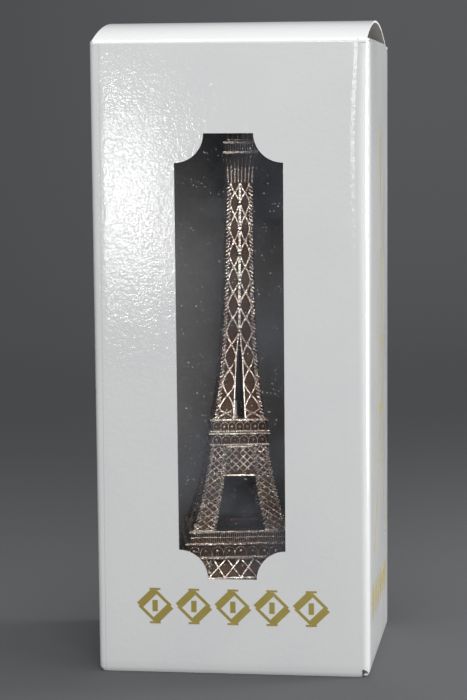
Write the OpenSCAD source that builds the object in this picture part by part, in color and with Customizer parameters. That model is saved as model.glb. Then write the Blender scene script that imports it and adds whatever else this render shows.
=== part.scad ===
// Miniature lattice landmark tower, cast in zinc alloy, standing in a window carton.
// The carton is one die-cut sheet of paperboard; each panel between two creases is a node.
// Millimetres. +Z up, the front of the carton faces -Y, origin at the bottom centre.

/* [Carton] */
// Outside width of the carton
carton_w = 68; // [67:1:80]
// Outside depth of the carton
carton_d = 62; // [62:1:76]
// Height of the carton's sleeve
carton_h = 157; // [157:1:175]
// Thickness of the paperboard
board_t = 0.5; // [0.4:0.05:0.55]

/* [Window] */
// Width of the die-cut window
window_w = 26.6; // [20:0.2:34]
// Height of the die-cut window
window_h = 110.4; // [80:0.2:112]
// Height of the window's sill above the table
window_sill = 24; // [20:0.5:30]
// Radius of the scoop cut out of each window corner
scoop_r = 7.2; // [4:0.2:9]
// Thickness of the clear film behind the window
film_t = 0.15; // [0.1:0.05:0.3]

/* [Closure] */
// Rise of the bowed lid at its middle
lid_rise = 3.5; // [1:0.5:4]
// Length of the tuck flap
tuck_l = 14; // [10:1:15]
// Inward lean of the tuck flap
tuck_lean = 12; // [11:1:16]
// Length of the dust flaps
dust_l = 21.5; // [14:0.5:22]

/* [Tower] */
// Turn of the tower about its own upright axis, as it stands in the carton
tower_turn = 12; // [0:1:14]
// Sideways place of the tower in the carton
tower_x = -3.5; // [-3.5:0.5:0.5]
// Width of the corner bars of the lattice
bar_w = 1.3; // [1:0.1:1.6]
// Width of the lattice braces
brace_w = 0.6; // [0.5:0.1:0.8]

/* [Hidden] */

// Carton, worked out from the driving sizes
half_w = carton_w / 2;
half_d = carton_d / 2;
inner_w = half_w - board_t;
inner_d = half_d - board_t;
fit_gap = 0.1;
floor_z = 3 * board_t;
film_margin = 4.5;
glue_flap_l = 14;
glue_flap_taper = 6;
crease_relief = 0.6;
tuck_relief = 0.15;
lid_w = carton_w - 1.2;
lid_y0 = -half_d + crease_relief;
lid_y1 = inner_d - 0.3;
dust_front_y = -half_d + 2.2;
dust_front_taper = 12;
dust_back_y = inner_d - 3.9;
dust_back_taper = 3;
flap_corner_r = 2.5;

// Tower: heights are above the underside of the feet, half widths are at the outer face
foot_h = 3.5;
leg_top = 24.4;
deck1_t = 0.8;
frieze1_top = 28;
gallery1_top = 31.6;
upper_leg_top = 52.6;
belt_bottom = 45;
frieze2_top = 55.6;
deck2_top = 59.7;
column_top = 120;
bracket_top = 127.5;
gallery3_top = 130.8;
cabin_top = 134.5;
lantern_top = 141.5;
mast_top = 150;

foot_half = 24;
foot_side = 11;
lower_out = [[foot_h, 22.8], [12, 18.2], [leg_top, 13.2]];
lower_side = [[foot_h, 9.4], [leg_top, 6.6]];
upper_out = [[gallery1_top, 12.2], [belt_bottom, 8.8], [upper_leg_top, 7.4]];
upper_side = [[gallery1_top, 6], [belt_bottom, 4.9], [upper_leg_top, 4.2]];
column_out = [[deck2_top, 6.6], [63.5, 5.9], [70, 5.1], [82, 4.2], [column_top, 3.3]];
deck1_half = 14.2;
gallery1_half = 13.2;
gallery1_ring = 7.4;
deck2_half = 8;
storey2_half = 7;
gallery3_half = 4.5;
cabin_half = 3.5;
well_half = 4;
arch_spring_h = 7.5;
arch_crown_h = 18.6;
arch_segments = 10;
arch_band = 1.5;
arch_thick = 1;
screw_r = 1.3;
screw_hole_r = 1.35;
screw_head_r = 2.6;
screw_head_h = 1.6;
boss_half = 2.4;
boss_h = 5;
mast_r = 0.55;
mast_hole_r = 0.6;
mast_socket = 3;

white_board = [0.9, 0.9, 0.89];
grey_board = [0.72, 0.71, 0.69];
bronze = [0.36, 0.29, 0.26];
dark_bronze = [0.27, 0.21, 0.19];

// ---------- Carton ----------

// A flat panel in the XZ plane, from y to y + t
module upright(y, t) {
    translate([0, y + t, 0]) rotate([90, 0, 0]) linear_extrude(t) children();
}

// Window outline: a tall rectangle with a scoop out of each corner
module window_shape() {
    translate([0, window_sill + window_h / 2]) difference() {
        square([window_w, window_h], center = true);
        for (sx = [-1, 1], sz = [-1, 1])
            translate([sx * window_w / 2, sz * window_h / 2]) circle(scoop_r, $fn = 64);
    }
}

module front_panel() {
    color(white_board) upright(-half_d, board_t) difference() {
        translate([-half_w, 0]) square([carton_w, carton_h]);
        window_shape();
    }
}

module back_panel() {
    color(white_board) upright(inner_d, board_t)
        translate([-half_w, 0]) square([carton_w, carton_h]);
}

module side_panel(side) {
    x = side > 0 ? inner_w : -half_w;
    color(white_board) translate([x, -inner_d, 0]) cube([board_t, 2 * inner_d, carton_h]);
}

// The glue flap is creased from the back panel and glued inside the left panel
module glue_flap() {
    low = floor_z + fit_gap;
    high = carton_h - 1;
    color(grey_board) translate([-inner_w, 0, 0]) rotate([90, 0, 90]) linear_extrude(board_t)
        polygon([
            [inner_d, low], [inner_d, high],
            [inner_d - glue_flap_l, high - glue_flap_taper],
            [inner_d - glue_flap_l, low + glue_flap_taper]
        ]);
}

module window_film() {
    color([0.85, 0.9, 0.95, 0.3]) upright(-inner_d, film_t)
        translate([-window_w / 2 - film_margin, window_sill - film_margin])
            square([window_w + 2 * film_margin, window_h + 2 * film_margin]);
}

// Bottom closure, outermost layer first: panel from the front, panel from the back, two flaps
module bottom_layer(level, x0, x1, y0, y1) {
    color(grey_board) translate([x0, y0, level * board_t]) cube([x1 - x0, y1 - y0, board_t]);
}

module bottom_flap(side) {
    x0 = side > 0 ? inner_w - dust_l : -inner_w;
    bottom_layer(2, x0, x0 + dust_l, -inner_d + 1, inner_d - 1);
}

// The lid bows up between its crease at the front and its crease at the back
module lid_panel() {
    span = lid_y1 - lid_y0;
    lid_r = (span * span / 4 + lid_rise * lid_rise) / (2 * lid_rise);
    color(white_board) translate([-lid_w / 2, (lid_y0 + lid_y1) / 2, carton_h + lid_rise - lid_r])
        rotate([90, 0, 90]) linear_extrude(lid_w) intersection() {
            difference() {
                circle(lid_r + board_t, $fn = 256);
                circle(lid_r, $fn = 256);
            }
            translate([-span / 2, 0]) square([span, lid_r + 2]);
        }
}

// A flap drawn with its hinge along X at y = 0, reaching to y = -l, with two round corners
module flap_shape(w, l) {
    hull() {
        translate([-w / 2, -1]) square([w, 1]);
        for (sx = [-1, 1])
            translate([sx * (w / 2 - flap_corner_r - 1), -l + flap_corner_r])
                circle(flap_corner_r, $fn = 32);
    }
}

module tuck_flap() {
    color(white_board) translate([0, lid_y1, carton_h]) rotate([90 - tuck_lean, 0, 0])
        translate([0, -tuck_relief, 0]) linear_extrude(board_t) flap_shape(lid_w - 4, tuck_l);
}

// Dust flap under the lid: its slanted edges clear the lid and the tuck flap as they lift
module dust_flap(side) {
    root = inner_w - fit_gap;
    tip = inner_w - dust_l;
    color(white_board) translate([0, 0, carton_h - board_t - fit_gap]) linear_extrude(board_t)
        polygon([
            [side * root, dust_front_y], [side * tip, dust_front_y + dust_front_taper],
            [side * tip, dust_back_y - dust_back_taper], [side * root, dust_back_y]
        ]);
}

// ---------- Tower ----------

// Stands the tower on the carton's floor, turned as it sits in the carton
module in_carton() {
    translate([tower_x, 0, floor_z]) rotate([0, 0, tower_turn]) children();
}

// A straight square bar from a to b
module bar(a, b, w) {
    d = b - a;
    l = norm(d);
    hull() translate(a) rotate([0, acos(d.z / l), atan2(d.y, d.x)])
        translate([-w / 2, -w / 2, -w / 4]) cube([w, w, l + w / 2]);
}

corners = [[1, 1], [-1, 1], [-1, -1], [1, -1]];

// Corner points of a leg or shaft section: out is its outer face, side its width
function section(out, side, inset, h, sx, sy) = [
    for (c = corners)
        [
            sx * (out - side / 2 + c.x * (side / 2 - inset)),
            sy * (out - side / 2 + c.y * (side / 2 - inset)),
            h
        ]
];

// A straight block with a level four-cornered face at each end
module block(low_face, high_face) {
    hull() polyhedron(concat(low_face, high_face), [
        [0, 1, 2, 3], [7, 6, 5, 4], [0, 4, 5, 1], [1, 5, 6, 2], [2, 6, 7, 3], [3, 7, 4, 0]
    ]);
}

function level_square(p, w) = [for (c = corners) p + [c.x * w / 2, c.y * w / 2, 0]];

// A four-sided lattice: corner posts, rings at each level, and crossed braces in each bay.
// Of two braces that cross, one is thinner, so that no two of their faces lie in one plane.
module lattice(rings, post_w, brace_size) {
    thin = 0.8 * brace_size;
    for (k = [0 : len(rings) - 1], i = [0 : 3]) {
        bar(rings[k][i], rings[k][(i + 1) % 4], 1.2 * brace_size);
        if (k < len(rings) - 1) {
            block(level_square(rings[k][i], post_w), level_square(rings[k + 1][i], post_w));
            bar(rings[k][i], rings[k + 1][(i + 1) % 4], brace_size);
            bar(rings[k][(i + 1) % 4], rings[k + 1][i], thin);
        }
    }
}

module slab(low, high) {
    translate([-50, -50, low]) cube([100, 100, high - low]);
}

// A solid block that follows a leg between two heights
module leg_envelope(outs, sides, low, high, sx, sy) {
    block(
        section(lookup(low, outs), lookup(low, sides), 0, low, sx, sy),
        section(lookup(high, outs), lookup(high, sides), 0, high, sx, sy)
    );
}

module raking_leg(outs, sides, levels, sx, sy) {
    rings = [for (h = levels) section(lookup(h, outs), lookup(h, sides), bar_w / 2, h, sx, sy)];
    intersection() {
        lattice(rings, bar_w, brace_w);
        slab(levels[0], levels[len(levels) - 1]);
    }
}

module pedestal(sx, sy) {
    step = 0.6;
    color(dark_bronze) in_carton() {
        translate([sx * (foot_half - foot_side / 2), sy * (foot_half - foot_side / 2), 0]) {
            translate([-foot_side / 2, -foot_side / 2, 0]) cube([foot_side, foot_side, foot_h / 2]);
            translate([-foot_side / 2 + step, -foot_side / 2 + step, foot_h / 2])
                cube([foot_side - 2 * step, foot_side - 2 * step, foot_h / 2]);
        }
    }
}

module lower_leg(sx, sy) {
    color(bronze) in_carton()
        raking_leg(lower_out, lower_side, [foot_h, 12, leg_top], sx, sy);
}

module upper_leg(sx, sy) {
    color(bronze) in_carton()
        raking_leg(upper_out, upper_side, [gallery1_top, belt_bottom, upper_leg_top], sx, sy);
}

// Point on an arch that spans two legs and leans back with them
function arch_point(t, rise) =
    let (h = arch_spring_h + (arch_crown_h + rise - arch_spring_h) * sin(t))
    let (reach = lookup(arch_spring_h, lower_out) - lookup(arch_spring_h, lower_side) + 1 + rise)
    [reach * cos(t), -lookup(h, lower_out) + arch_thick, h];

// Arch ring, and the girder of crossed braces above it, cut off where the legs begin
module arch(turn) {
    girder_low = arch_crown_h + 1;
    girder_half = lookup(girder_low, lower_out) - lookup(girder_low, lower_side) + 0.5;
    bays = 4;
    bay_w = 2 * girder_half / bays;
    color(bronze) in_carton() rotate([0, 0, turn]) difference() {
        intersection() {
            union() {
                for (i = [0 : arch_segments - 1])
                    bar(
                        arch_point(180 * i / arch_segments, 0),
                        arch_point(180 * (i + 1) / arch_segments, 0),
                        arch_band
                    );
                for (i = [0 : bays - 1]) {
                    x0 = -girder_half + i * bay_w;
                    top_y = -lookup(leg_top, lower_out) + arch_thick;
                    low_y = -lookup(girder_low, lower_out) + arch_thick;
                    bar([x0, low_y, girder_low], [x0 + bay_w, top_y, leg_top], brace_w);
                    bar([x0 + bay_w, low_y, girder_low], [x0, top_y, leg_top], brace_w);
                }
                bar(
                    [-girder_half, -lookup(girder_low, lower_out) + arch_thick, girder_low],
                    [girder_half, -lookup(girder_low, lower_out) + arch_thick, girder_low], 0.9
                );
            }
            slab(arch_spring_h, leg_top);
        }
        for (sx = [-1, 1]) {
            leg_envelope(lower_out, lower_side, foot_h, 12, sx, -1);
            leg_envelope(lower_out, lower_side, 12, leg_top, sx, -1);
        }
    }
}

// A square plate with a square well in it
module ring_plate(half, well, low, high) {
    difference() {
        translate([-half, -half, low]) cube([2 * half, 2 * half, high - low]);
        translate([-well, -well, low - 1]) cube([2 * well, 2 * well, high - low + 2]);
    }
}

module first_floor_deck() {
    color(bronze) in_carton() ring_plate(deck1_half, well_half, leg_top, leg_top + deck1_t);
}

module first_floor_frieze() {
    color(dark_bronze) in_carton()
        ring_plate(deck1_half - 0.5, deck1_half - 1.7, leg_top + deck1_t, frieze1_top);
}

// Gallery: a floor ring, balusters round its edge, and a roof ring
module first_floor_gallery() {
    ring_t = 0.7;
    post = 0.7;
    posts = 6;
    pitch = (2 * gallery1_half - 1.4 * post) / posts;
    color(bronze) in_carton() {
        ring_plate(deck1_half, gallery1_half - gallery1_ring, frieze1_top, frieze1_top + ring_t);
        ring_plate(gallery1_half, gallery1_half - gallery1_ring, gallery1_top - ring_t, gallery1_top);
        for (turn = [0 : 90 : 270], i = [0 : posts - 1])
            rotate([0, 0, turn]) translate([
                -gallery1_half + 0.2 * post + i * pitch, -gallery1_half + 0.2 * post,
                frieze1_top + ring_t
            ])
                cube([post, post, gallery1_top - frieze1_top - 2 * ring_t]);
    }
}

// A belt of crossed braces closes each pair of upper legs below the second floor
module belt(turn) {
    gap = lookup(belt_bottom, upper_out) - lookup(belt_bottom, upper_side) + 0.4;
    low_y = -lookup(belt_bottom, upper_out) + bar_w / 2;
    top_y = -lookup(upper_leg_top, upper_out) + bar_w / 2;
    rail_w = 1;
    color(bronze) in_carton() rotate([0, 0, turn]) difference() {
        intersection() {
            union() {
                bar([-gap, low_y, belt_bottom + rail_w / 2], [gap, low_y, belt_bottom + rail_w / 2], rail_w);
                for (i = [-1, 1]) {
                    bar([i * gap, low_y, belt_bottom], [0, top_y, upper_leg_top], brace_w);
                    bar([0, low_y, belt_bottom], [i * gap, top_y, upper_leg_top], brace_w);
                }
            }
            slab(belt_bottom, upper_leg_top);
        }
        for (sx = [-1, 1])
            leg_envelope(upper_out, upper_side, belt_bottom, upper_leg_top, sx, -1);
    }
}

module second_floor_frieze() {
    color(dark_bronze) in_carton()
        ring_plate(deck2_half - 0.5, deck2_half - 3.2, upper_leg_top, frieze2_top);
}

// Lower deck, storey and upper deck in one casting, drilled for the column's screw
module second_floor_deck() {
    color(bronze) in_carton() difference() {
        union() {
            translate([-deck2_half, -deck2_half, frieze2_top])
                cube([2 * deck2_half, 2 * deck2_half, 1]);
            translate([-storey2_half, -storey2_half, frieze2_top + 1])
                cube([2 * storey2_half, 2 * storey2_half, deck2_top - frieze2_top - 1.9]);
            translate([-deck2_half + 0.4, -deck2_half + 0.4, deck2_top - 0.9])
                cube([2 * deck2_half - 0.8, 2 * deck2_half - 0.8, 0.9]);
        }
        translate([0, 0, frieze2_top - 1])
            cylinder(h = deck2_top - frieze2_top + 2, r = screw_hole_r, $fn = 48);
    }
}

module column_screw() {
    color([0.6, 0.6, 0.58]) in_carton() {
        translate([0, 0, frieze2_top - screw_head_h])
            cylinder(h = screw_head_h, r = screw_head_r, $fn = 48);
        translate([0, 0, frieze2_top])
            cylinder(h = deck2_top - frieze2_top + boss_h - 1, r = screw_r, $fn = 48);
    }
}

// Shaft of the tower: four curved corner bars, crossed braces, and a screwed boss at its foot
module column() {
    levels = [deck2_top, 65, 73, 84.5, 96, 108, column_top];
    rings = [
        for (h = levels)
            let (out = lookup(h, column_out))
            [for (c = corners) [c.x * (out - bar_w / 2), c.y * (out - bar_w / 2), h]]
    ];
    color(bronze) in_carton() difference() {
        intersection() {
            union() {
                lattice(rings, bar_w, brace_w);
                translate([-boss_half, -boss_half, deck2_top])
                    cube([2 * boss_half, 2 * boss_half, boss_h]);
                translate([-column_out[0][1] + 0.4, -boss_half, deck2_top])
                    cube([2 * column_out[0][1] - 0.8, 2 * boss_half, 1]);
            }
            slab(deck2_top, column_top);
        }
        translate([0, 0, deck2_top - 1]) cylinder(h = boss_h, r = screw_hole_r, $fn = 24);
    }
}

// Flared bracket that carries the top gallery
module third_floor_bracket() {
    low = lookup(column_top, column_out);
    color(bronze) in_carton() hull() {
        translate([-low, -low, column_top]) cube([2 * low, 2 * low, 1]);
        translate([-gallery3_half + 0.3, -gallery3_half + 0.3, bracket_top - 0.5])
            cube([2 * gallery3_half - 0.6, 2 * gallery3_half - 0.6, 0.5]);
    }
}

module third_floor_gallery() {
    rail = 0.7;
    color(bronze) in_carton() {
        translate([-gallery3_half, -gallery3_half, bracket_top])
            cube([2 * gallery3_half, 2 * gallery3_half, rail]);
        translate([-gallery3_half + 0.4, -gallery3_half + 0.4, bracket_top + rail])
            cube([2 * gallery3_half - 0.8, 2 * gallery3_half - 0.8, gallery3_top - bracket_top - 2 * rail]);
        translate([-gallery3_half, -gallery3_half, gallery3_top - rail])
            cube([2 * gallery3_half, 2 * gallery3_half, rail]);
    }
}

module cabin() {
    color(dark_bronze) in_carton()
        translate([-cabin_half, -cabin_half, gallery3_top])
            cube([2 * cabin_half, 2 * cabin_half, cabin_top - gallery3_top]);
}

// Domed lantern, turned round, with a socket for the mast
module lantern() {
    dome_r = 2.6;
    color(bronze) in_carton() rotate_extrude($fn = 48) difference() {
        union() {
            translate([0, cabin_top]) square([3, 0.8]);
            intersection() {
                translate([0, cabin_top + 0.8]) circle(dome_r, $fn = 48);
                translate([0, cabin_top + 0.8]) square([dome_r, dome_r]);
            }
            translate([0, cabin_top + 0.8]) square([1.4, lantern_top - cabin_top - 0.8]);
        }
        translate([0, lantern_top - mast_socket]) square([mast_hole_r, mast_socket + 1]);
    }
}

module mast() {
    color(bronze) in_carton() translate([0, 0, lantern_top - mast_socket])
        cylinder(h = mast_top - lantern_top + mast_socket, r = mast_r, $fn = 24);
}

// ---------- What is drawn ----------

front_panel();
back_panel();
side_panel(-1);  // left_panel
side_panel(1);  // right_panel
glue_flap();
window_film();
bottom_layer(0, -inner_w, inner_w, -inner_d, inner_d);  // bottom_panel
bottom_layer(1, -inner_w, inner_w, -inner_d + 10, inner_d);  // bottom_inner_panel
bottom_flap(-1);  // bottom_left_flap
bottom_flap(1);  // bottom_right_flap
lid_panel();
tuck_flap();
dust_flap(-1);  // left_dust_flap
dust_flap(1);  // right_dust_flap
pedestal(-1, -1);  // pedestal_front_left
pedestal(1, -1);  // pedestal_front_right
pedestal(-1, 1);  // pedestal_back_left
pedestal(1, 1);  // pedestal_back_right
lower_leg(-1, -1);  // lower_leg_front_left
lower_leg(1, -1);  // lower_leg_front_right
lower_leg(-1, 1);  // lower_leg_back_left
lower_leg(1, 1);  // lower_leg_back_right
arch(0);  // arch_front
arch(90);  // arch_right
arch(180);  // arch_back
arch(270);  // arch_left
first_floor_deck();
first_floor_frieze();
first_floor_gallery();
upper_leg(-1, -1);  // upper_leg_front_left
upper_leg(1, -1);  // upper_leg_front_right
upper_leg(-1, 1);  // upper_leg_back_left
upper_leg(1, 1);  // upper_leg_back_right
belt(0);  // belt_front
belt(90);  // belt_right
belt(180);  // belt_back
belt(270);  // belt_left
second_floor_frieze();
second_floor_deck();
column();
column_screw();
third_floor_bracket();
third_floor_gallery();
cabin();
lantern();
mast();
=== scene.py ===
import bpy
import numpy as np
from mathutils import Matrix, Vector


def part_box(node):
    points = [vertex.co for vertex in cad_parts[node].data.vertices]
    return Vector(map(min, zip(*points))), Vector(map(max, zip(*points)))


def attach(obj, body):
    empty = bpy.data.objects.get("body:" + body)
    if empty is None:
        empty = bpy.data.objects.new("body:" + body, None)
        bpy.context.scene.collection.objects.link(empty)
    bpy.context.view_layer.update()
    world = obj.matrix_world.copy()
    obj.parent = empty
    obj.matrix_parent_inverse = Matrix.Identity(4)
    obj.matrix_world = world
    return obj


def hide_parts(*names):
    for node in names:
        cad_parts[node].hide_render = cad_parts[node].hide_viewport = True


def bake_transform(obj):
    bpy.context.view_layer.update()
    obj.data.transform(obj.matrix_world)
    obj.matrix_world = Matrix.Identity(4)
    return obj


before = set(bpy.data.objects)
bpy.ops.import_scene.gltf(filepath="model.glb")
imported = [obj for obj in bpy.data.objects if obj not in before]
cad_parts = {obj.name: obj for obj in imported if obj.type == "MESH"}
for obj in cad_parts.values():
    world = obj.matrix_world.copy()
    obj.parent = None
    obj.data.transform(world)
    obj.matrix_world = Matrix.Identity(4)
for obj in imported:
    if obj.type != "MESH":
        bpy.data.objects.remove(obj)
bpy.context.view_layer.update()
MM = 0.001

# ---------------------------------------------------------------- Camera
# A short telephoto, a little right of the carton's front and below the height of its lid.
camera_place = np.array([79.8, -597.6, 137.8]) * MM
camera_yaw, camera_pitch, camera_roll = np.radians([7.96, -5.64, -0.37])
forward = np.array(
    [
        -np.sin(camera_yaw) * np.cos(camera_pitch),
        np.cos(camera_yaw) * np.cos(camera_pitch),
        np.sin(camera_pitch),
    ]
)
level = np.array([np.cos(camera_yaw), np.sin(camera_yaw), 0.0])
upright = np.cross(level, forward)
right = level * np.cos(camera_roll) + upright * np.sin(camera_roll)
up = upright * np.cos(camera_roll) - level * np.sin(camera_roll)
camera_data = bpy.data.cameras.new("camera")
camera_data.lens = 120.2
camera_data.clip_start = 0.01
camera = bpy.data.objects.new("camera", camera_data)
camera_axes = Matrix(np.column_stack([right, up, -forward]))
camera.matrix_world = Matrix.Translation(camera_place) @ camera_axes.to_4x4()
bpy.context.scene.collection.objects.link(camera)
bpy.context.scene.camera = camera
bpy.context.scene.view_settings.view_transform = "Standard"


# ---------------------------------------------------------------- Floor and lights
# A grey paper sweep, which rises behind the carton, and soft boxes: the key at the front right, and
# others in front, at the right, above and behind. The narrow lamp glints on the varnish at the left.
class Wire:
    """An output socket. Arithmetic on it adds Math nodes and gives the result's socket."""

    def __init__(self, tree, socket):
        self.tree, self.socket = tree, socket

    def math(self, operation, *values, clamp=False):
        node = self.tree.nodes.new("ShaderNodeMath")
        node.operation, node.use_clamp = operation, clamp
        for place, value in zip(node.inputs, values):
            if isinstance(value, Wire):
                self.tree.links.new(value.socket, place)
            else:
                place.default_value = value
        return Wire(self.tree, node.outputs[0])

    def __add__(self, other):
        return self.math("ADD", self, other)

    def __sub__(self, other):
        return self.math("SUBTRACT", self, other)

    def __rsub__(self, other):
        return self.math("SUBTRACT", other, self)

    def __mul__(self, other):
        return self.math("MULTIPLY", self, other)

    def __gt__(self, other):
        return self.math("GREATER_THAN", self, other)

    def __lt__(self, other):
        return self.math("LESS_THAN", self, other)

    def __abs__(self):
        return self.math("ABSOLUTE", self)

    def clamped(self):
        return self.math("ADD", self, 0.0, clamp=True)

    __radd__, __rmul__ = __add__, __mul__


class Finish:
    """A material in the making: its tree, its Principled shader, and the one way to add a node."""

    def __init__(self, name):
        self.material = bpy.data.materials.new(name)
        self.material.use_nodes = True
        self.tree = self.material.node_tree
        self.shader = self.tree.nodes["Principled BSDF"]

    def node(self, kind, settings=None, sockets=None, out=0):
        """Adds a node of a type, makes its settings first, then gives its sockets values or links."""
        node = self.tree.nodes.new(kind)
        for key, value in (settings or {}).items():
            if key == "stops":
                ramp = node.color_ramp.elements
                while len(ramp) < len(value):
                    ramp.new(0.5)
                for element, (place, colour) in zip(ramp, value):
                    element.position, element.color = place, (*colour, 1)
            else:
                setattr(node, key, value)
        self.set(node, sockets or {})
        return Wire(self.tree, node.outputs[out])

    def set(self, node, sockets):
        for key, value in sockets.items():
            if isinstance(value, Wire):
                self.tree.links.new(value.socket, node.inputs[key])
            else:
                node.inputs[key].default_value = value

    def noise(self, scale, detail=2.0, roughness=0.5, where=None):
        """Noise between 0 and 1, with scale features to the metre, on the piece's own coordinates."""
        spot = where or self.node("ShaderNodeTexCoord", out=3)
        sockets = {"Vector": spot, "Scale": scale, "Detail": detail, "Roughness": roughness}
        return self.node("ShaderNodeTexNoise", {}, sockets)

    def mix(self, amount, first, second):
        """A colour between first and second."""
        colours = {"Factor": amount, 6: (*first, 1) if isinstance(first, tuple) else first}
        colours[7] = (*second, 1) if isinstance(second, tuple) else second
        return self.node("ShaderNodeMix", {"data_type": "RGBA"}, colours, out=2)

    def bump(self, height, distance, strength=1.0, under=None):
        sockets = {"Height": height, "Distance": distance, "Strength": strength}
        if under:
            sockets["Normal"] = under
        return self.node("ShaderNodeBump", {}, sockets)


sweep_half, sweep_back, sweep_radius, sweep_height = 2.0, 1.5, 0.5, 1.6
turn = np.linspace(0, np.pi / 2, 14)
sweep_y = np.concatenate([[-2.0], sweep_back - sweep_radius + sweep_radius * np.sin(turn), [sweep_back]])
sweep_z = np.concatenate([[0], sweep_radius * (1 - np.cos(turn)), [sweep_height]])
sweep_points = [(x, y, z) for y, z in zip(sweep_y, sweep_z) for x in (-sweep_half, sweep_half)]
sweep_faces = [(2 * k, 2 * k + 1, 2 * k + 3, 2 * k + 2) for k in range(len(sweep_y) - 1)]
sweep_mesh = bpy.data.meshes.new("sweep")
sweep_mesh.from_pydata(sweep_points, [], sweep_faces)
sweep_mesh.polygons.foreach_set("use_smooth", [True] * len(sweep_faces))
sweep = bpy.data.objects.new("sweep", sweep_mesh)
bpy.context.scene.collection.objects.link(sweep)
paper = Finish("sweep_paper")
paper.set(paper.shader, {"Base Color": (0.105, 0.107, 0.112, 1), "Roughness": 0.85})
sweep_mesh.materials.append(paper.material)


def soft_box(name, place, target, width, height, power):
    """A rectangular lamp at place, facing target."""
    data = bpy.data.lights.new(name, "AREA")
    data.shape, data.size, data.size_y, data.energy = "RECTANGLE", width, height, power
    lamp = bpy.data.objects.new(name, data)
    away = np.array(place, float) - np.array(target, float)
    away /= np.linalg.norm(away)
    side = np.cross([0, 0, 1], away)
    side /= np.linalg.norm(side)
    frame_axes = np.column_stack([side, np.cross(away, side), away])
    lamp.matrix_world = Matrix.Translation(place) @ Matrix(frame_axes).to_4x4()
    lamp.visible_camera = False
    bpy.context.scene.collection.objects.link(lamp)


middle = (0, 0, 0.08)
soft_box("top_box", (0.0, -0.02, 0.50), middle, 0.3, 0.25, 1.5)
soft_box("key_box", (0.27, -0.82, 0.34), middle, 0.3, 0.45, 2.9)
soft_box("front_box", (0.05, -0.85, 0.44), middle, 0.3, 0.2, 1.7)
soft_box("right_box", (0.39, 0.12, 0.08), middle, 0.12, 0.2, 1.7)
soft_box("back_box", (0.0, 0.95, 0.85), (-0.1, 1.5, 0.15), 0.7, 0.3, 4.4)
soft_box("glint_lamp", (-0.165, -0.7, 0.099), (-0.027, -0.031, 0.11), 0.012, 0.085, 0.20)
world = bpy.data.worlds.new("studio")
world.use_nodes = True
world.node_tree.nodes["Background"].inputs["Color"].default_value = (0.8, 0.83, 0.88, 1)
world.node_tree.nodes["Background"].inputs["Strength"].default_value = 0.12
bpy.context.scene.world = world


# ---------------------------------------------------------------- Sleeve
# The carton's four walls: one sheet of clay-coated board, die-cut with the window, creased, wrapped
# into a tube and glued. The board springs a little, so its creases are round and its walls bow out.
def node_box(node):
    """A node's lowest and highest corners in the frame, in millimetres."""
    return np.array(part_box(node), float).reshape(2, 3) / MM


front_low, front_high = node_box("front_panel")
back_high = node_box("back_panel")[1]
half_width = front_high[0]
half_depth = back_high[1]
sleeve_top = front_high[2]
board_thick = front_high[1] - front_low[1]
window_edge, window_low, window_high, scoop_radius = 13.3, 24.0, 134.4, 7.2
# The upright creases' radius, and how far below the top the walls end, where the rounded folds start
crease_radius, fold_drop = 1.3, 0.8
# How far the walls bow, how the toe rounds, and how far the top leans left, which fades to the right
front_bow, side_bow, flat_margin = 0.25, 0.5, 6
toe_height, toe_inset = 1.6, 0.6
slant, slant_fade = 0.75, 50


def front_bulge(x, z):
    """How far the front wall bows out: a parabola across it, nothing near its creases, times half a
    sine wave up it."""
    across = np.clip(1 - (x / (half_width - flat_margin)) ** 2, 0, 1)
    return front_bow * across * np.sin(np.pi * np.clip(z / sleeve_top, 0, 1))


def side_bulge(y, z):
    """The same for a side wall, across its depth."""
    across = np.clip(1 - (y / (half_depth - flat_margin)) ** 2, 0, 1)
    return side_bow * across * np.sin(np.pi * np.clip(z / sleeve_top, 0, 1)) ** 0.8


def spots(x, y, z):
    """Points from their coordinates, any of which may be one number or an array."""
    return np.stack(np.broadcast_arrays(x, y, z), -1).astype(float)


def grid_faces(rows, columns, wrap=False):
    """Quads of a grid of points, row by row; wrap joins the last column to the first."""
    i, j = np.meshgrid(np.arange(rows - 1), np.arange(columns if wrap else columns - 1), indexing="ij")
    this, after = i * columns + j, i * columns + (j + 1) % columns
    return np.stack([this, after, after + columns, this + columns], -1).reshape(-1, 4)


def mesh_piece(name, points, faces, materials):
    """A piece from points in millimetres, linked to the scene."""
    mesh = bpy.data.meshes.new(name)
    mesh.from_pydata((points * MM).tolist(), [], faces)
    for material in materials:
        mesh.materials.append(material)
    piece = bpy.data.objects.new(name, mesh)
    bpy.context.scene.collection.objects.link(piece)
    return piece


def board_piece(name, points, faces, materials, thickness=board_thick):
    """One sheet of board, drawn as its outer face in millimetres, and thickened inwards by Solidify.
    The second material is the inner face's, and the third the cut edge's. Its cut edges are sharp."""
    points, index = np.unique(np.round(points.reshape(-1, 3), 5), axis=0, return_inverse=True)
    piece = mesh_piece(name, points, index.ravel()[faces].tolist(), materials)
    mesh = piece.data
    mesh.validate()
    mesh.polygons.foreach_set("use_smooth", [True] * len(mesh.polygons))
    loop_edges = np.empty(len(mesh.loops), np.int32)
    mesh.loops.foreach_get("edge_index", loop_edges)
    cut = np.bincount(loop_edges, minlength=len(mesh.edges)) == 1
    mesh.attributes.new("sharp_edge", "BOOLEAN", "EDGE").data.foreach_set("value", cut)
    wall = piece.modifiers.new("board", "SOLIDIFY")
    wall.thickness, wall.offset, wall.use_even_offset = thickness * MM, -1, True
    wall.material_offset, wall.material_offset_rim = (1, 2) if len(materials) > 2 else (0, 0)
    return piece


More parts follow.
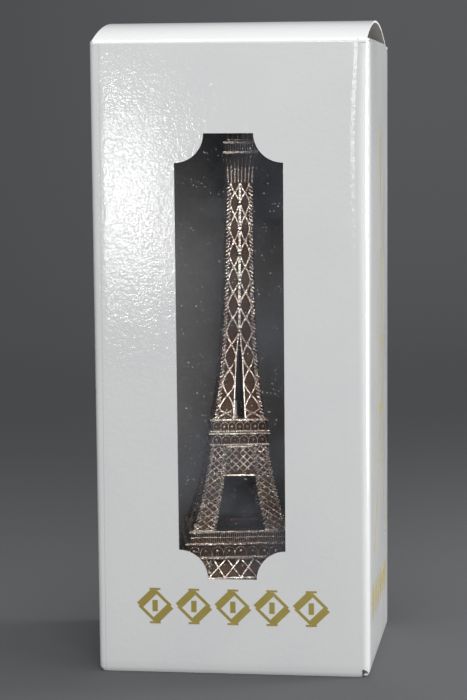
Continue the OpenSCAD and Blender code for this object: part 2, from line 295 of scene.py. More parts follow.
def varnished_board():
    """Gloss-varnished white board: faint mottle, an orange-peel skin that breaks up glints, painted
    shade along the score beside the front left crease, and a worn spot at the foot of the front right crease."""
    finish = Finish("varnished_white_board")
    spot = finish.node("ShaderNodeTexCoord", out=3)
    axes = finish.node("ShaderNodeSeparateXYZ", {}, {0: spot})
    x, y, z = (Wire(finish.tree, axes.socket.node.outputs[k]) for k in range(3))
    mottle = finish.noise(55, 3)
    tone = finish.mix(mottle, (0.80, 0.805, 0.81), (0.86, 0.86, 0.855))
    # Painted shade: a thin band beside the front left crease is darkened, standing in for the shade in the
    # score's groove
    score_shade = (abs(x + (half_width - 1.75) * MM) < 0.09 * MM) * (y < -(half_depth - 0.3) * MM)
    tone = finish.mix(score_shade * 0.35, tone, (0.45, 0.45, 0.46))
    foot = finish.node(
        "ShaderNodeVectorMath",
        {"operation": "DISTANCE"},
        {0: spot, 1: ((half_width - 0.6) * MM, -(half_depth - 0.4) * MM, 0.4 * MM)},
        out=1,
    )
    worn = (finish.noise(900, 3) * 2.6 * MM + 0.1 * MM > foot) * 1.0
    tone = finish.mix(worn, tone, (0.09, 0.075, 0.065))
    peel = finish.noise(850, 2, 0.6)
    fibre = finish.noise(3800, 2)
    skin = finish.bump(fibre, 0.003 * MM, 0.6, finish.bump(peel, 0.048 * MM))
    finish.set(
        finish.shader,
        {
            "Base Color": tone,
            "Roughness": 0.07 + 0.08 * mottle + 0.5 * worn,
            "Normal": skin,
        },
    )
    return finish.material


def grey_back():
    """The board's uncoated back: recycled grey pulp with darker and lighter fibres."""
    finish = Finish("grey_board_back")
    pulp = finish.noise(1400, 4, 0.7)
    flecks = finish.noise(5200, 2) > 0.66
    tone = finish.mix(pulp, (0.30, 0.295, 0.285), (0.44, 0.43, 0.415))
    tone = finish.mix(flecks * 0.35, tone, (0.16, 0.15, 0.14))
    finish.set(
        finish.shader,
        {"Base Color": tone, "Roughness": 0.88, "Normal": finish.bump(pulp, 0.03 * MM)},
    )
    return finish.material


def cut_edge():
    """The knife-cut edge of the board: white clay over paler pulp, slightly furry."""
    finish = Finish("cut_board_edge")
    pulp = finish.noise(4200, 3)
    finish.set(
        finish.shader,
        {"Base Color": finish.mix(pulp, (0.62, 0.61, 0.59), (0.84, 0.83, 0.81)), "Roughness": 0.8},
    )
    return finish.material


white_board, grey_board, board_edge = varnished_board(), grey_back(), cut_edge()
board = [white_board, grey_board, board_edge]

# Heights of the rows of the sleeve's grid, denser at the toe; the window's block lies between two rows
block_low, block_high = 11.0, sleeve_top - 10
arc_steps, scoop_steps, foot_steps, jamb_steps, ring_steps = 7, 8, 8, 40, 7
block_columns, block_rows = foot_steps + 2 * scoop_steps, jamb_steps + 2 * scoop_steps
row_z = np.concatenate(
    [
        [0.04, 0.25, 0.55, 0.85, 1.2, 3, 6],
        np.linspace(block_low, block_high, block_rows + 1),
        np.linspace(block_high, sleeve_top - fold_drop, 6)[1:],
    ]
)[:, None]


def corner(angle_from, radius, sx, sy, z):
    """A quarter-circle crease in plan, tangent to both walls, for every row."""
    angle = np.radians(angle_from + np.linspace(0, 90, arc_steps))[None, :]
    x = sx * (half_width - radius) + radius * np.cos(angle)
    y = sy * (half_depth - radius) + radius * np.sin(angle)
    return spots(x, y, z)


def wall(start, end, steps):
    """Straight rows from the end of one crease to the start of the next, both left out."""
    t = np.linspace(0, 1, steps + 1)[1:-1][None, :, None]
    return start[:, -1:] * (1 - t) + end[:, :1] * t


up_wall = np.clip(row_z / sleeve_top, 0, 1)
# The front right crease is softer than the others, most of all below the lid
soft_crease = 2.6 + 2.6 * up_wall - 1.6 * np.clip(up_wall - 0.85, 0, 1) / 0.15
front_right = corner(-90, soft_crease, 1, -1, row_z)
back_right = corner(0, crease_radius + 0 * row_z, 1, 1, row_z)
back_left = corner(90, crease_radius + 0 * row_z, -1, 1, row_z)
front_left = corner(180, crease_radius + 0 * row_z, -1, -1, row_z)
tube = np.concatenate(
    [
        front_left,
        wall(front_left, front_right, block_columns),
        front_right,
        wall(front_right, back_right, 12),
        back_right,
        wall(back_right, back_left, 12),
        back_left,
        wall(back_left, front_left, 12),
    ],
    1,
)
# The back wall and the creases reach the full height, and three walls stop below the rounded folds
lift = np.clip((tube[..., 1] - half_depth + crease_radius) / crease_radius, 0, 1)
in_crease = (abs(tube[..., 0]) < half_width - 0.01) & (tube[..., 1] > 0.01 - half_depth)
lift = np.maximum(lift, in_crease & (tube[..., 1] < 0))
tube[..., 2] *= 1 + lift * (sleeve_top / (sleeve_top - fold_drop) - 1)


def bowed(points):
    """Moves the sleeve's points out by the walls' bow, and in at the toe, where the bottom crease rounds."""
    x, y, z = (points[..., k].copy() for k in range(3))
    out = points.copy()
    out[..., 1] -= np.where(y < -half_depth + 0.01, front_bulge(x, z), 0)
    out[..., 0] += np.where(abs(x) > half_width - 0.01, side_bulge(y, z), 0) * np.sign(x)
    toe = toe_inset * np.clip(1 - z / toe_height, 0, 1) ** 2
    out[..., 0] *= 1 - toe / half_width
    out[..., 1] *= 1 - toe / half_depth
    out[..., 0] -= slant * z / sleeve_top * np.clip((half_width - x) / slant_fade, 0, 1)
    return out


def window_outline():
    """The die-cut window, from the middle of the lower left scoop, anticlockwise: a rectangle with a
    quarter circle scooped out of each corner."""
    corners = [(-1, -1, 45), (1, -1, 135), (1, 1, 225), (-1, 1, 315)]
    straight = [foot_steps, jamb_steps, foot_steps, jamb_steps]
    path = []
    for k, (sx, sz, middle_angle) in enumerate(corners):
        nx, nz, next_angle = corners[(k + 1) % 4]
        centre = np.array([sx * window_edge, window_low if sz < 0 else window_high])
        onward = np.array([nx * window_edge, window_low if nz < 0 else window_high])
        leave = np.radians(np.linspace(middle_angle, middle_angle - 45, scoop_steps + 1))
        arrive = np.radians(np.linspace(next_angle + 45, next_angle, scoop_steps + 1))
        first = centre + scoop_radius * np.stack([np.cos(leave), np.sin(leave)], -1)
        last = onward + scoop_radius * np.stack([np.cos(arrive), np.sin(arrive)], -1)
        t = np.linspace(0, 1, straight[k] + 1)[1:-1, None]
        path += [first, first[-1] * (1 - t) + last[0] * t, last[:-1]]
    return np.concatenate(path)


rows, columns = tube.shape[:2]
low_row = int(np.argmin(abs(row_z[:, 0] - block_low)))
left_column = arc_steps - 1
block = tube[low_row : low_row + block_rows + 1, left_column : left_column + block_columns + 1]
block_border = np.concatenate([block[0, :-1], block[:-1, -1], block[-1, :0:-1], block[:0:-1, 0]])
outline = window_outline()
outline = spots(outline[:, 0], -half_depth, outline[:, 1])
reach = np.linspace(0, 1, ring_steps + 1)[:, None, None]
around = outline * (1 - reach) + block_border * reach

tube_faces = grid_faces(rows, columns, wrap=True)
face_row, face_column = np.divmod(np.arange(len(tube_faces)), columns)
in_block = (face_row >= low_row) & (face_row < low_row + block_rows)
in_block &= (face_column >= left_column) & (face_column < left_column + block_columns)
ring_faces = grid_faces(ring_steps + 1, len(outline), wrap=True)[:, ::-1]
sleeve_points = np.concatenate([bowed(tube).reshape(-1, 3), bowed(around).reshape(-1, 3)])
sleeve_faces = np.concatenate([tube_faces[~in_block], ring_faces + rows * columns])
sleeve = board_piece("carton_sleeve", sleeve_points, sleeve_faces, board)
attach(sleeve, "carton")
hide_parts("front_panel", "back_panel", "left_panel", "right_panel")


# ---------------------------------------------------------------- Lid, tuck flap and dust flaps
# More of the same sheet, beyond its creases: the lid from the front wall, bowed because it is a little
# long, the tuck flap pushed down inside the back wall, and a dust flap from each side wall.
lid_reach, tuck_reach = (node_box(node)[1][0] for node in ("lid_panel", "tuck_flap"))
# The slope of the bowed lid at its two creases and the lean of the tuck flap, in degrees
lid_rise_angle, tuck_lean = 19.5, 12
fold_radius, tuck_radius, dust_radius, tuck_corner = 1.0, 1.0, 1.4, 2.5


def creased_path(start, stretches):
    """A path in a plane from a start point. Each stretch has a length, the headings in degrees at its
    two ends and a number of steps: its heading changes evenly, and its points are running sums."""
    steps, where = [], [[start]]
    for length, first, last, count in stretches:
        heading = np.radians(first + (last - first) * (np.arange(count) + 0.5) / count)
        steps.append(length / count * np.stack([np.cos(heading), np.sin(heading)], -1))
    where.append(start + np.cumsum(np.concatenate(steps), 0))
    return np.concatenate(where)


def strip(path, low_edge, high_edge, columns):
    """Points of a flap: row by row along the path, from the low edge to the high edge across it."""
    across = low_edge[:, None] + (high_edge - low_edge)[:, None] * np.linspace(0, 1, columns)[None, :]
    along, height = (np.broadcast_to(path[:, k : k + 1], across.shape) for k in (0, 1))
    return along, height, across


bow_length = 62.0
front_crease = (np.radians(90 - lid_rise_angle) * fold_radius, 90, lid_rise_angle, 10)
bow = (bow_length, lid_rise_angle, -lid_rise_angle, 36)
back_crease = (np.radians(90 + tuck_lean - lid_rise_angle) * tuck_radius, -lid_rise_angle, -90 - tuck_lean, 8)
tuck_flat = (13.2, -90 - tuck_lean, -90 - tuck_lean, 16)
lid_path = creased_path((-half_depth, sleeve_top - fold_drop), [front_crease, bow, back_crease, tuck_flat])
lid_rows = 1 + 10 + 36
lid_half = np.full(len(lid_path), lid_reach)
lid_half[lid_rows:] = tuck_reach
from_tip = np.concatenate([np.zeros(len(lid_path) - 17), np.linspace(0, 1, 17)]) * tuck_flat[0]
rounding = np.clip(from_tip - (tuck_flat[0] - tuck_corner), 0, tuck_corner)
lid_half -= tuck_corner - np.sqrt(tuck_corner**2 - rounding**2)
y, z, x = strip(lid_path, -lid_half, lid_half, 29)
flaps = spots(x - slant * np.clip((half_width - x) / slant_fade, 0, 1), y, z)

lid = board_piece("carton_lid", flaps[:lid_rows], grid_faces(lid_rows, 29), board)
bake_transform(lid)
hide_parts("lid_panel")

tuck_rows = len(lid_path) - lid_rows + 1
tuck = board_piece("carton_tuck_flap", flaps[lid_rows - 1 :], grid_faces(tuck_rows, 29), board)
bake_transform(tuck)
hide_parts("tuck_flap")

for side, name in ((-1, "left"), (1, "right")):
    flap_low, flap_high = node_box(name + "_dust_flap")
    reach = half_width - dust_radius - min(abs(flap_low[0]), abs(flap_high[0]))
    path = creased_path(
        (half_width, sleeve_top - fold_drop),
        [(np.radians(91) * dust_radius, 90, 181, 8), (reach, 181, 180.4, 12)],
    )
    inward = np.clip((half_width - path[:, 0]) / (half_width - 12), 0, 1)
    low_edge = flap_low[1] + 12 * inward**1.15
    high_edge = flap_high[1] - 3 * inward**1.15
    x, z, y = strip(path, *((low_edge, high_edge) if side > 0 else (high_edge, low_edge)), 21)
    flap = board_piece("carton_dust_flap_" + name, spots(side * x, y, z), grid_faces(len(path), 21), board)
    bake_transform(flap)
    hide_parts(name + "_dust_flap")


# ---------------------------------------------------------------- Bottom and glue flap
# The bottom is two panels and two flaps glued in a stack, and the sleeve's seam is a flap glued
# inside its left wall. The outermost panel is drawn with its edges eased; the rest show the grey back.
base_high = node_box("bottom_panel")[1]
u, v = np.meshgrid(np.linspace(-1, 1, 25), np.linspace(-1, 1, 25))
eased = 0.25 * (abs(u) ** 24 + abs(v) ** 24) + 0.12 * (1 - u**2) * (1 - v**2)
base_points = spots(u * (base_high[0] - 0.1), -v * (base_high[1] - 0.1), 0.02 + eased)
base = board_piece("carton_bottom", base_points, grid_faces(25, 25), board)
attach(base, "carton")
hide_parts("bottom_panel")
for name in ("bottom_inner_panel", "bottom_left_flap", "bottom_right_flap", "glue_flap"):
    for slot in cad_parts[name].material_slots:
        slot.material = grey_board


# ---------------------------------------------------------------- Window film
# A sheet of clear acetate glued behind the window by its margin. It isn't quite flat, and holds
# specks of dust, and has soft clouds of painted reflection.
def clear_acetate():
    """Film that is seen through where it is clean, and glossy everywhere: a glossy shader is laid over
    a transparent one by fresnel, by soft clouds of painted reflection, and by specks of dust."""
    finish = Finish("clear_acetate_film")
    # Painted reflection: where these clouds rise, the bluish-grey glossy layer covers the clear film
    reflection_clouds = finish.noise(38, 3, 0.6)
    specks = (finish.noise(1900, 1) > 0.73) * (finish.noise(300, 1) > 0.52)
    fresnel = finish.node("ShaderNodeFresnel", {}, {"IOR": 1.5})
    wave = finish.noise(60, 1)
    finish.set(
        finish.shader,
        {
            "Base Color": finish.mix(specks, (0.16, 0.17, 0.20), (0.75, 0.74, 0.72)),
            "Roughness": 0.1 + 0.5 * specks,
            "Normal": finish.bump(wave, 0.12 * MM),
        },
    )
    finish.shader.inputs["IOR"].default_value = 1.9
    clear = finish.node("ShaderNodeBsdfTransparent")
    amount = (0.015 + 0.9 * fresnel + 0.9 * (reflection_clouds - 0.45) * (reflection_clouds > 0.45) + 0.55 * specks).clamped()
    glossy = Wire(finish.tree, finish.shader.outputs[0])
    film = finish.node("ShaderNodeMixShader", {}, {0: amount, 1: clear, 2: glossy})
    finish.tree.links.new(film.socket, finish.tree.nodes["Material Output"].inputs["Surface"])
    return finish.material


film_low, film_high = node_box("window_film")
u, v = np.meshgrid(np.linspace(film_low[0], film_high[0], 25), np.linspace(film_low[2], film_high[2], 61))
ripple = 0.05 * np.sin(u / 3.1 + v / 17) * np.sin(v / 9.3 - 1) + 0.05
film_points = spots(u, film_low[1] + 0.02 + ripple * (1 - (u / film_high[0]) ** 8), v)
film = board_piece("carton_window_film", film_points, grid_faces(61, 25), [clear_acetate()], 0.12)
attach(film, "carton")
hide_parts("window_film")


# ---------------------------------------------------------------- Foil ornament
# Gold foil hot-stamped on the board: a row of lozenges below the window, and on the right wall a
# tapering lattice spire above a row of smaller lozenges. The shapes are plain ornament.
def gold_foil():
    """Stamped gold foil: olive gold with a fine pebble from the die and pinholes where it didn't take."""
    finish = Finish("gold_stamping_foil")
    pebble = finish.noise(2600, 2)
    finish.set(
        finish.shader,
        {
            "Base Color": finish.mix(finish.noise(240, 2), (0.40, 0.32, 0.075), (0.50, 0.41, 0.12)),
            "Metallic": 0.55,
            "Roughness": 0.42 + 0.2 * pebble,
            "Normal": finish.bump(pebble, 0.01 * MM),
        },
    )
    return finish.material


def strokes(starts, ends, width):
    """Flat strokes in a wall's plane: each is a quad, half its width to either side of its line."""
    starts, ends = np.asarray(starts, float), np.asarray(ends, float)
    width = np.broadcast_to(width, len(starts))[:, None]
    along = (ends - starts) / np.linalg.norm(ends - starts, axis=1, keepdims=True)
    aside = np.stack([-along[:, 1], along[:, 0]], -1) * width / 2
    return np.stack([starts - aside, ends - aside, ends + aside, starts + aside], 1)


def lozenge(across, height, half_across, half_height, weight):
    """A lozenge of four strokes, heavy and light by turns, with a bar at its heart and two serifs."""
    tip = np.array([[0, -1], [1, 0], [0, 1], [-1, 0]]) * [half_across * 0.86, half_height * 0.86]
    tip = tip + [across, height]
    sides = strokes(tip, np.roll(tip, -1, 0), weight * np.array([1.25, 0.5, 1.25, 0.5]))
    heart_half = 0.32 * half_height
    heart = strokes([[across, height - heart_half]], [[across, height + heart_half]], 0.9 * weight)
    level = height + np.array([-1, 1]) * (half_height - 0.25)
    left, right = across - 0.3 * half_across, across + 0.3 * half_across
    serifs = strokes([[left, level[0]], [left, level[1]]], [[right, level[0]], [right, level[1]]], 0.5)
    return np.concatenate([sides, heart, serifs])


def foil_piece(name, quads, on_wall):
    """Lays strokes on a wall, each a hair higher than the last so that none share a face."""
    proud = 0.02 + 0.002 * (np.arange(len(quads)) % 9)[:, None]
    points = on_wall(quads[..., 0], quads[..., 1], proud)
    piece = mesh_piece(name, points.reshape(-1, 3), np.arange(len(quads) * 4).reshape(-1, 4).tolist(), [foil])
    body = piece.modifiers.new("foil", "SOLIDIFY")
    body.thickness, body.offset = 0.05 * MM, -1
    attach(piece, "carton")


def on_front(x, z, proud):
    return spots(x, -half_depth - front_bulge(x, z) - proud, z)


def on_right(y, z, proud):
    return spots(half_width + side_bulge(y, z) + proud, y, z)


foil = gold_foil()
row = [lozenge(x, 17, 4.6, 4.5, 1.5) for x in np.linspace(-19.6, 19.6, 5)]
foil_piece("foil_row_front", np.concatenate(row), on_front)
row = [lozenge(y, 17, 3.4, 4.2, 1.2) for y in np.linspace(-20, 20, 6)]
spire_height = np.array([31, 38, 50, 64, 82, 104, 136])
spire_half = np.array([15.5, 12.6, 8.6, 5.6, 3.4, 2.0, 0.7])
left, right = np.stack([-spire_half, spire_height], -1), np.stack([spire_half, spire_height], -1)
row += [
    strokes(left[:-1], left[1:], 0.8),
    strokes(right[:-1], right[1:], 0.8),
    strokes(left[1:-1], right[1:-1], 0.9),
    strokes(left[:-1], right[1:], 0.4),
    strokes(right[:-1], left[1:], 0.4),
    strokes([[-17, 30], [-17, 27.8]], [[17, 30], [17, 27.8]], [1.6, 0.6]),
]
foil_piece("foil_spire_right", np.concatenate(row), on_right)


# ---------------------------------------------------------------- Tower: feet
# The tower is cast in zinc alloy and finished as antique bronze: dark in its hollows, with the high
# parts rubbed back to pale metal. Each foot is a stepped block of two courses.
floor_low = node_box("pedestal_front_left")[0]
mast_low, mast_high = node_box("mast")
tower_axis = (mast_low + mast_high) / 2
tower_floor = floor_low[2]
tower_turn = np.radians(12)
tower_lean = 0.012


def antique_bronze():
    """Antique bronze over a zinc casting. The rub attribute is 0 in the hollows and 1 on the crowns,
    and is scaled down on the lower storeys and the belts as painted shade: it takes the colour from brown
    patina to pale worn metal, and the roughness from dull to bright."""
    finish = Finish("antique_bronze_casting")
    rub = finish.node("ShaderNodeAttribute", {"attribute_name": "rub"}, out=2)
    wear, lumps, grain = finish.noise(620, 3, 0.6), finish.noise(1500, 2, 0.6), finish.noise(2600, 3, 0.6)
    tint = (3.0 * finish.noise(160, 2) - 1.0).clamped()
    worn = ((rub + 1.3 * (wear - 0.5)) * 1.7 - 0.6).clamped()
    patina = finish.mix(tint, (0.055, 0.028, 0.017), (0.105, 0.062, 0.038))
    bright = finish.mix(tint, (0.82, 0.62, 0.54), (0.93, 0.87, 0.74))
    finish.set(
        finish.shader,
        {
            "Base Color": finish.mix(worn, patina, bright),
            "Metallic": 0.95,
            "Roughness": 0.48 - 0.26 * worn + 0.12 * (grain - 0.5),
            "Normal": finish.bump(grain, 0.03 * MM, 0.8, finish.bump(lumps, 0.16 * MM)),
        },
    )
    return finish.material


bronze = antique_bronze()


def joined(parts):
    """Several parts, each points, faces and rub, as one."""
    points, faces, rub, count = [], [], [], 0
    for part_points, part_faces, part_rub in parts:
        points.append(part_points)
        rub.append(part_rub)
        faces += [face_array + count for face_array in part_faces]
        count += len(part_points)
    return np.concatenate(points), faces, np.concatenate(rub)


def cast_piece(name, parts, nodes, bevel=0.0):
    """A piece of the tower from its parts, in the tower's own axes with heights above its feet. It is
    turned about the tower's upright axis and stood on the carton's floor, and leans a little. What
    stands below the column is painted darker, as painted shade: its rub is scaled down."""
    points, faces, rub = joined(parts)
    # Painted shade: below the column the rub is scaled down, to 0.8 at the second floor, so the lower storeys
    # come out darker
    rub = rub * np.interp(points[:, 2], [54, 64], [0.8, 1])
    c, s = np.cos(tower_turn), np.sin(tower_turn)
    x = c * points[:, 0] - s * points[:, 1] + tower_axis[0] + tower_lean * points[:, 2]
    y = s * points[:, 0] + c * points[:, 1] + tower_axis[1]
    face_list = [face for face_array in faces for face in face_array.tolist()]
    piece = mesh_piece(name, spots(x, y, points[:, 2] + tower_floor), face_list, [bronze])
    piece.data.attributes.new("rub", "FLOAT", "POINT").data.foreach_set("value", rub.astype(np.float32))
    if bevel:
        edge = piece.modifiers.new("cast_edges", "BEVEL")
        edge.width, edge.segments, edge.limit_method = bevel * MM, 2, "ANGLE"
        edge.use_clamp_overlap = True
    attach(piece, "tower")
    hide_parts(*nodes)
    return piece


def carried_round(profile, steps=4, centre=(0, 0)):
    """A profile of half width, height and rub, carried round an upright axis: four steps make a square
    of that half width, many make a turned part. Points that meet on the axis become one."""
    profile = np.asarray(profile, float)
    angle = np.pi / 4 + 2 * np.pi * np.arange(steps) / steps
    reach = profile[:, :1] * (np.sqrt(2) if steps == 4 else 1)
    x = centre[0] + reach * np.cos(angle)
    y = centre[1] + reach * np.sin(angle)
    points = spots(x, y, profile[:, 1:2]).reshape(-1, 3)
    rub = np.repeat(profile[:, 2], steps)
    _, first, index = np.unique(np.round(points, 4), axis=0, return_index=True, return_inverse=True)
    faces = index.ravel()[grid_faces(len(profile), steps, wrap=True)]
    same = faces == np.roll(faces, -1, 1)
    quads, threes = faces[~same.any(1)], faces[same.sum(1) == 1]
    keep = ~same[same.sum(1) == 1]
    return points[first], [quads, threes[keep].reshape(-1, 3)], rub[first]


rib_section = np.array([[-0.5, 0], [-0.5, 0.45], [-0.2, 1], [0.2, 1], [0.5, 0.45], [0.5, 0]])
rib_rub = np.array([0, 0.45, 1, 1, 0.45, 0])


def ribs(starts, ends, outward, width, height, sunk=0.25):
    """Raised ribs of the casting: six-sided prisms from starts to ends. A section's first number is
    across the rib in widths, and its second is outward, from the sunk base to the full height."""
    starts, ends = (np.asarray(a, float).reshape(-1, 3) for a in (starts, ends))
    outward = np.broadcast_to(outward, starts.shape)
    along = ends - starts
    along /= np.linalg.norm(along, axis=1, keepdims=True)
    out = outward - (outward * along).sum(1, keepdims=True) * along
    out /= np.linalg.norm(out, axis=1, keepdims=True)
    across = np.cross(along, out)
    wide = np.broadcast_to(width, len(starts))[:, None, None, None] * rib_section[None, None, :, :1]
    tall = (np.where(rib_section[:, 1] > 0, rib_section[:, 1] * height, -sunk))[None, None, :, None]
    points = np.stack([starts, ends], 1)[:, :, None]
    points = points + wide * across[:, None, None] + tall * out[:, None, None]
    base = 12 * np.arange(len(starts))[:, None]
    k = np.arange(6)
    k_next = (k + 1) % 6
    sides = np.stack([k, k_next, k_next + 6, k + 6], -1)
    sides = (base[:, :, None] + sides[None]).reshape(-1, 4)
    rub = np.tile(rib_rub, 2 * len(starts))
    return points.reshape(-1, 3), [sides, base + k + 6, base + k[::-1]], rub


course = [(0, 0, 0), (1, 0, 0.3), (1, 0.95, 0.5), (0.985, 1, 0.9), (0, 1, 0.3)]
foot_half, foot_high = 5.5, 3.5
corners = (("front_left", -1, -1), ("front_right", 1, -1), ("back_left", -1, 1), ("back_right", 1, 1))
for name, sx, sy in corners:
    at = np.array([sx, sy]) * (24 - foot_half)
    low = [(r * foot_half, h * foot_high / 2, rub) for r, h, rub in course]
    top = [(r * (foot_half - 0.6), foot_high / 2 * (1 + h) - 0.01, rub) for r, h, rub in course]
    parts = [carried_round(low, centre=at), carried_round(top, centre=at)]
    # Courses of rusticated stones round the foot, as raised ribs with gaps between them
    for turn in np.radians([0, 90, 180, 270]):
        out = np.array([np.cos(turn), np.sin(turn), 0])
        side = np.array([-out[1], out[0], 0])
        for half, height, count in ((foot_half, 0.45, 4), (foot_half, 1.2, 3), (foot_half - 0.6, 2.6, 4)):
            edges = np.linspace(-half + 0.15, half - 0.15, count + 1)
            centre = np.append(at, height) + (half - 0.02) * out
            starts, ends = (centre + edge[:, None] * side for edge in (edges[:-1] + 0.09, edges[1:] - 0.09))
            parts.append(ribs(starts, ends, out, 0.6, 0.12))
    cast_piece("tower_foot_" + name, parts, ["pedestal_" + name])


# ---------------------------------------------------------------- Tower: legs
# Four legs to each storey, cast hollow-faced: a dark core, a twisted bar up each corner, and crossed
# braces standing proud of every face.
leg_corners = np.array([[1, 1], [-1, 1], [-1, -1], [1, -1]])
face_outward = np.array([[0, 1, 0], [-1, 0, 0], [0, -1, 0], [1, 0, 0]])


def core(sections):
    """A closed loft through level four-cornered sections, lowest first."""
    levels = len(sections)
    last = 4 * (levels - 1)
    caps = np.array([[3, 2, 1, 0], [last, last + 1, last + 2, last + 3]])
    return sections.reshape(-1, 3), [grid_faces(levels, 4, wrap=True), caps], np.zeros(4 * levels)


def at_height(table, height):
    """The value at a height, from a table of heights and values."""
    return np.interp(height, *np.array(table).T)


def end_caps(rings, points_round):
    """The two end faces of a closed sweep."""
    ring = np.arange(points_round)
    return np.stack([ring[::-1], ring + points_round * (rings - 1)])


def twisted_bar(path, radius, pitch, points_round=8, rings_a_turn=7):
    """A bar of two strands twisted together: round each ring, its radius swells twice, and the swell
    turns once for each pitch of its height. The ridges are rubbed and the grooves aren't."""
    length = path[-1, 2] - path[0, 2]
    rings = max(3, int(length / pitch * rings_a_turn))
    z = np.linspace(path[0, 2], path[-1, 2], rings)
    x, y = (np.interp(z, path[:, 2], path[:, k]) for k in (0, 1))
    angle = 2 * np.pi * np.arange(points_round) / points_round
    swell = np.cos(2 * angle[None, :] - 2 * np.pi * (z[:, None] - z[0]) / pitch)
    r = radius * (1 + 0.22 * swell)
    points = spots(x[:, None] + r * np.cos(angle), y[:, None] + r * np.sin(angle), z[:, None])
    faces = [grid_faces(rings, points_round, wrap=True), end_caps(rings, points_round)]
    return points.reshape(-1, 3), faces, (0.75 + 0.35 * swell).ravel()


def cord(line, inward, outward, across, pitch):
    """Slanted strands up the edge of a face, like a cord: each rises from the edge line as it goes
    inward across the face."""
    low = np.arange(line[0, 2] + 0.1, line[-1, 2] - pitch, pitch)
    starts, ends = (
        spots(np.interp(z, line[:, 2], line[:, 0]), np.interp(z, line[:, 2], line[:, 1]), z)
        for z in (low, low + 0.75 * pitch)
    )
    return ribs(starts, ends + across * np.asarray(inward), outward, 0.5 * pitch, 0.32)


def crossed_face(left, right, outward, columns, width, height):
    """Crossed braces over a face. Its nodes divide every level evenly from the left edge to the right,
    and two braces cross between each four nodes, one lower than the other."""
    t = np.linspace(0, 1, columns + 1)[None, :, None]
    nodes = left[:, None] * (1 - t) + right[:, None] * t
    return [
        ribs(nodes[:-1, :-1], nodes[1:, 1:], outward, width, height),
        ribs(nodes[:-1, 1:], nodes[1:, :-1], outward, width, 0.85 * height),
    ]


def leg(outs, sides, heights, sx, sy, columns, post_radius, pitch):
    """A leg: its section at each height is a square of width side whose outer faces are at out."""
    out, side = at_height(outs, heights), at_height(sides, heights)
    middle = (out - side / 2)[:, None, None] * np.array([sx, sy])[None, None, :]

    def ring(inset):
        spot = middle + leg_corners[None] * (side / 2 - inset)[:, None, None]
        return spots(spot[..., 0], spot[..., 1], heights[:, None])

    parts = [core(ring(0.45))]
    corner_line, face_line = ring(post_radius * 0.95), ring(0.42)
    parts += [twisted_bar(corner_line[:, k], post_radius, pitch) for k in range(4)]
    for k, after, outward in zip(range(4), (1, 2, 3, 0), face_outward):
        parts += crossed_face(face_line[:, k], face_line[:, after], outward, columns, 0.42, 0.36)
        parts.append(ribs(face_line[::2, k], face_line[::2, after], outward, 0.36, 0.3))
        inward = np.append(leg_corners[after] - leg_corners[k], 0) / 2
        for edge, way in ((k, inward), (after, -inward)):
            line = ring(0.12)[:, edge] - 0.1 * outward
            parts.append(cord(line, way, outward, 1.7 * post_radius, 1.6 * post_radius))
    return parts


lower_outs, lower_sides = [(3.5, 22.8), (12, 18.2), (24.4, 13.2)], [(3.5, 9.4), (24.4, 6.6)]
upper_outs = [(31.6, 12.3), (36, 11.0), (41, 9.6), (46, 8.6), (52.6, 7.4)]
upper_sides = [(31.6, 6), (45, 4.9), (52.6, 4.2)]
for name, sx, sy in corners:
    parts = leg(lower_outs, lower_sides, np.linspace(3.5, 24.4, 11), sx, sy, 3, 0.6, 1.5)
    cast_piece("tower_lower_leg_" + name, parts, ["lower_leg_" + name])
    parts = leg(upper_outs, upper_sides, np.linspace(31.6, 52.6, 13), sx, sy, 2, 0.5, 1.2)
    cast_piece("tower_upper_leg_" + name, parts, ["upper_leg_" + name])


# ---------------------------------------------------------------- Tower: arches and girders
# Between each pair of lower legs, an arch ring with raised rims, short hangers above it, and a girder
# of crossed braces under the first floor. They lean back as the legs do.
def carried(path, outward, section, rub):
    """A section carried along a path. Each of its points keeps its place across the path and outward."""
    along = np.gradient(path, axis=0)
    along /= np.linalg.norm(along, axis=1, keepdims=True)
    out = outward - (along @ outward)[:, None] * along
    out /= np.linalg.norm(out, axis=1, keepdims=True)
    across = np.cross(along, out)
    points = path[:, None] + section[None, :, :1] * across[:, None] + section[None, :, 1:] * out[:, None]
    rows, columns = len(path), len(section)
    faces = [grid_faces(rows, columns, wrap=True), end_caps(rows, columns)]
    return points.reshape(-1, 3), faces, np.tile(rub, rows)


def quarter_turned(parts, quarter):
    """The same parts turned by quarters of a turn about the tower's axis."""
    c, s = round(np.cos(quarter * np.pi / 2)), round(np.sin(quarter * np.pi / 2))
    spin = np.array([[c, s, 0], [-s, c, 0], [0, 0, 1]])
    return [(points @ spin, faces, rub) for points, faces, rub in parts]


def leg_face(height, x, depth=0.0):
    """A point of the front face of the lower legs' slope."""
    return spots(x, depth - at_height(lower_outs, height), height)


def unrubbed(part):
    """The same part left dark."""
    points, faces, rub = part
    return points, faces, 0 * rub


band_section = np.array(
    [[-0.75, -0.6], [-0.75, 0.3], [-0.6, 0.45], [-0.42, 0.3], [-0.38, 0.12],
     [0.38, 0.12], [0.42, 0.3], [0.6, 0.45], [0.75, 0.3], [0.75, -0.6]]
)
band_rub = np.array([0, 0.6, 1, 0.8, 0.1, 0.1, 0.8, 1, 0.6, 0])
spring_high, crown_high, arch_reach = 7.5, 18.6, 12.8
girder_low, girder_top = 19.6, 24.4
t = np.linspace(0.02, np.pi - 0.02, 41)
arch_line = leg_face(spring_high + (crown_high - spring_high) * np.sin(t), arch_reach * np.cos(t), 1.0)
lean = np.array([0, -0.9, 0.4])
arch_parts = [carried(arch_line, lean, band_section, band_rub)]
girder_levels = np.array([girder_low, girder_top - 0.1])
girder_half = at_height(lower_outs, girder_levels) - at_height(lower_sides, girder_levels) + 0.4
girder_face = [leg_face(girder_levels, side * girder_half, 0.55) for side in (-1, 1)]
